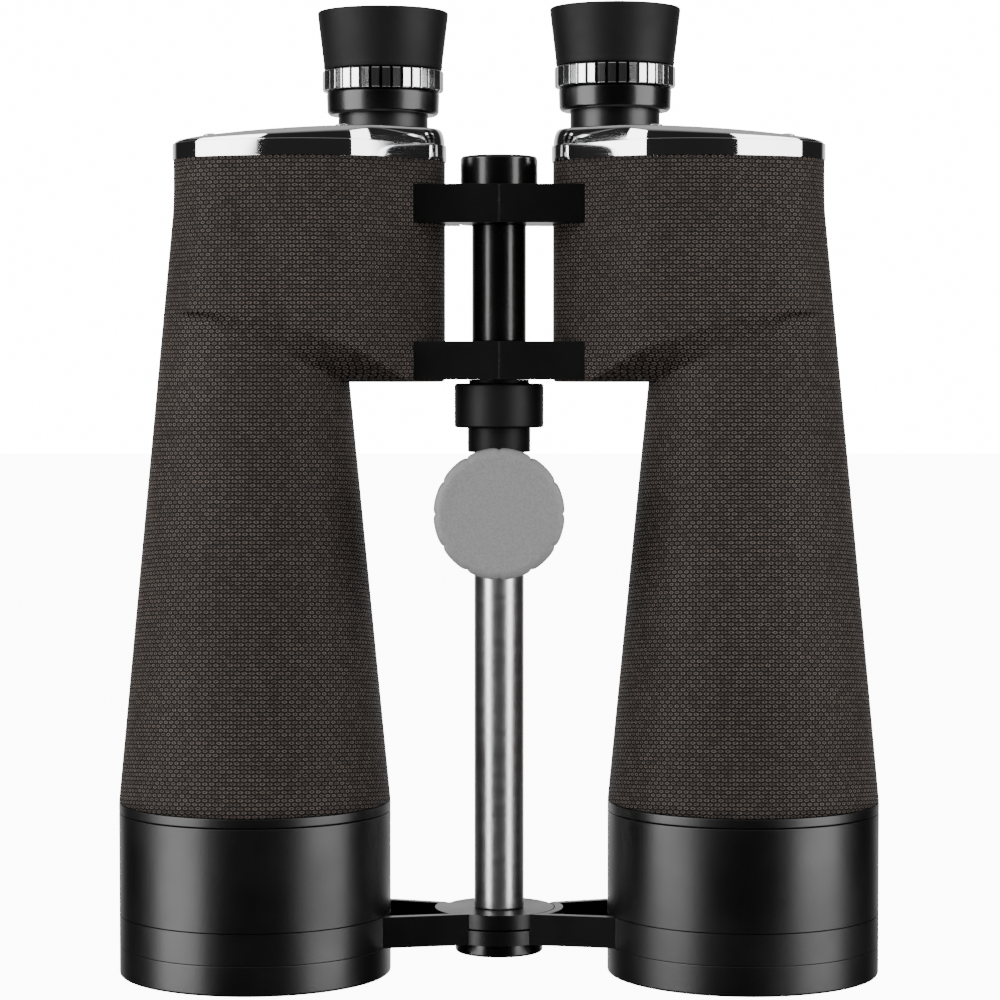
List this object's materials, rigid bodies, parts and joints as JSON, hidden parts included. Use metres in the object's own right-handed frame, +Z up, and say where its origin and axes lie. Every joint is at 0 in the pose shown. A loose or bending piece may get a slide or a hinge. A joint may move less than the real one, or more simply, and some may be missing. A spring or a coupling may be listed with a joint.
{
  "type": "binoculars",
  "caption": "Large porro-prism binoculars with tapering grained tubes, chromed prism covers, individual-focus eyepieces, centre hinge, brace and sliding tripod clamp.",
  "frame": {"origin": "centre of the bounding box on the plane the objective rims stand on, midway between the objective axes", "axes": "+Z up along the tubes towards the eyepieces, +X towards the right-hand tube seen from the clamp knob's side, +Y away from the clamp knob"},
  "size_m": [0.2466, 0.088, 0.3126],
  "materials": {
    "covering": "grained dark brown-grey leatherette with staggered pebbles",
    "black_enamel": "satin black enamel",
    "gloss_black": "glossy black enamel",
    "grey_enamel": "fine matt dark grey enamel",
    "black_anodised": "matt black anodised",
    "cast_aluminium": "machined casting",
    "bright_chrome": "polished bright chrome",
    "column_steel": "satin turned steel",
    "spring_steel": "plain steel",
    "washer_brass": "plain brass",
    "eyecup_rubber": "matt black rubber",
    "coated_glass": "polished coated glass",
    "prism_glass": "polished glass",
    "knob_grey": "grained mid-grey moulding"
  },
  "bodies": {
    "spine": {"hinge_axle": "spring_steel", "hinge_tube": "gloss_black", "hinge_cap": "gloss_black", "hinge_washers": "washer_brass", "rod_socket": "grey_enamel", "center_rod": "column_steel", "hub_nut": "gloss_black"},
    "left_barrel": {"left_covering": "covering", "left_prism_housing": "black_enamel", "left_objective_tube": "black_enamel", "left_tube_ring": "black_enamel", "left_objective_barrel": "black_enamel", "left_front_ring": "black_enamel", "left_brace_arm": "black_enamel", "left_objective_cell": "black_anodised", "left_objective_lens": "coated_glass", "left_lens_retainer": "black_anodised", "left_prism_shelf": "cast_aluminium", "left_upper_prism": "prism_glass", "left_lower_prism": "prism_glass", "left_prism_clips": "spring_steel", "left_cover_plate": "bright_chrome", "left_plate_screws": "bright_chrome", "left_eyepiece_neck": "black_enamel"},
    "right_barrel": {"right_covering": "covering", "right_prism_housing": "black_enamel", "right_objective_tube": "black_enamel", "right_tube_ring": "black_enamel", "right_objective_barrel": "black_enamel", "right_front_ring": "black_enamel", "right_brace_arm": "black_enamel", "right_objective_cell": "black_anodised", "right_objective_lens": "coated_glass", "right_lens_retainer": "black_anodised", "right_prism_shelf": "cast_aluminium", "right_upper_prism": "prism_glass", "right_lower_prism": "prism_glass", "right_prism_clips": "spring_steel", "right_cover_plate": "bright_chrome", "right_plate_screws": "bright_chrome", "right_eyepiece_neck": "black_enamel"},
    "left_lens_carrier": {"left_lens_cell": "black_anodised", "left_field_lens": "coated_glass", "left_eye_lens": "coated_glass"},
    "left_eyepiece": {"left_focus_ring": "gloss_black", "left_grip_ring": "bright_chrome", "left_eyecup": "eyecup_rubber"},
    "right_lens_carrier": {"right_lens_cell": "black_anodised", "right_field_lens": "coated_glass", "right_eye_lens": "coated_glass"},
    "right_eyepiece": {"right_focus_ring": "gloss_black", "right_grip_ring": "bright_chrome", "right_eyecup": "eyecup_rubber"},
    "bush": {"adapter_bush": "black_anodised"},
    "tripod_adapter": {"adapter_block": "black_enamel", "tripod_post": "black_enamel"},
    "shoe": {"clamp_shoe": "washer_brass"},
    "knob": {"clamp_knob": "knob_grey", "clamp_screw": "spring_steel"}
  },
  "joints": [
    {"name": "left_fold", "type": "hinge", "parent": "spine", "child": "left_barrel", "pos_m": [0, 0.007, 0.15], "axis": [0, 0, -1], "range_deg": [0, 40]},
    {"name": "right_fold", "type": "hinge", "parent": "spine", "child": "right_barrel", "pos_m": [0, 0.007, 0.15], "axis": [0, 0, 1], "range_deg": [0, 40]},
    {"name": "left_focus_travel", "type": "slide", "parent": "left_barrel", "child": "left_lens_carrier", "axis": [0, 0, 1], "range_m": [-0.0012, 0.0045]},
    {"name": "left_focus_turn", "type": "hinge", "parent": "left_lens_carrier", "child": "left_eyepiece", "pos_m": [-0.0376, 0.007, 0.28], "axis": [0, 0, 1], "range_deg": [-72.1, 270.1]},
    {"name": "right_focus_travel", "type": "slide", "parent": "right_barrel", "child": "right_lens_carrier", "axis": [0, 0, 1], "range_m": [-0.0026, 0.0031]},
    {"name": "right_focus_turn", "type": "hinge", "parent": "right_lens_carrier", "child": "right_eyepiece", "pos_m": [0.0376, 0.007, 0.28], "axis": [0, 0, 1], "range_deg": [-156.1, 186.1]},
    {"name": "adapter_slide", "type": "slide", "parent": "spine", "child": "bush", "axis": [0, 0, 1], "range_m": [-0.1, 0.003]},
    {"name": "adapter_swivel", "type": "hinge", "parent": "bush", "child": "tripod_adapter", "pos_m": [0, 0.007, 0.1502], "axis": [0, 0, 1], "range_deg": [-15, 15]},
    {"name": "shoe_release", "type": "slide", "parent": "tripod_adapter", "child": "shoe", "axis": [0, -1, 0], "range_m": [0, 0.001]},
    {"name": "knob_turn", "type": "hinge", "parent": "shoe", "child": "knob", "pos_m": [0, -0.02, 0.1502], "axis": [0, -1, 0], "range_deg": [0, 360.1]}
  ],
  "couplings": [
    {"joint": "right_fold", "follows": "left_fold", "ratio": 1},
    {"joint": "left_focus_turn", "follows": "left_focus_travel", "rad_per_m": 1047.2},
    {"joint": "right_focus_turn", "follows": "right_focus_travel", "rad_per_m": 1047.2},
    {"joint": "knob_turn", "follows": "shoe_release", "rad_per_m": 6283.2}
  ]
}
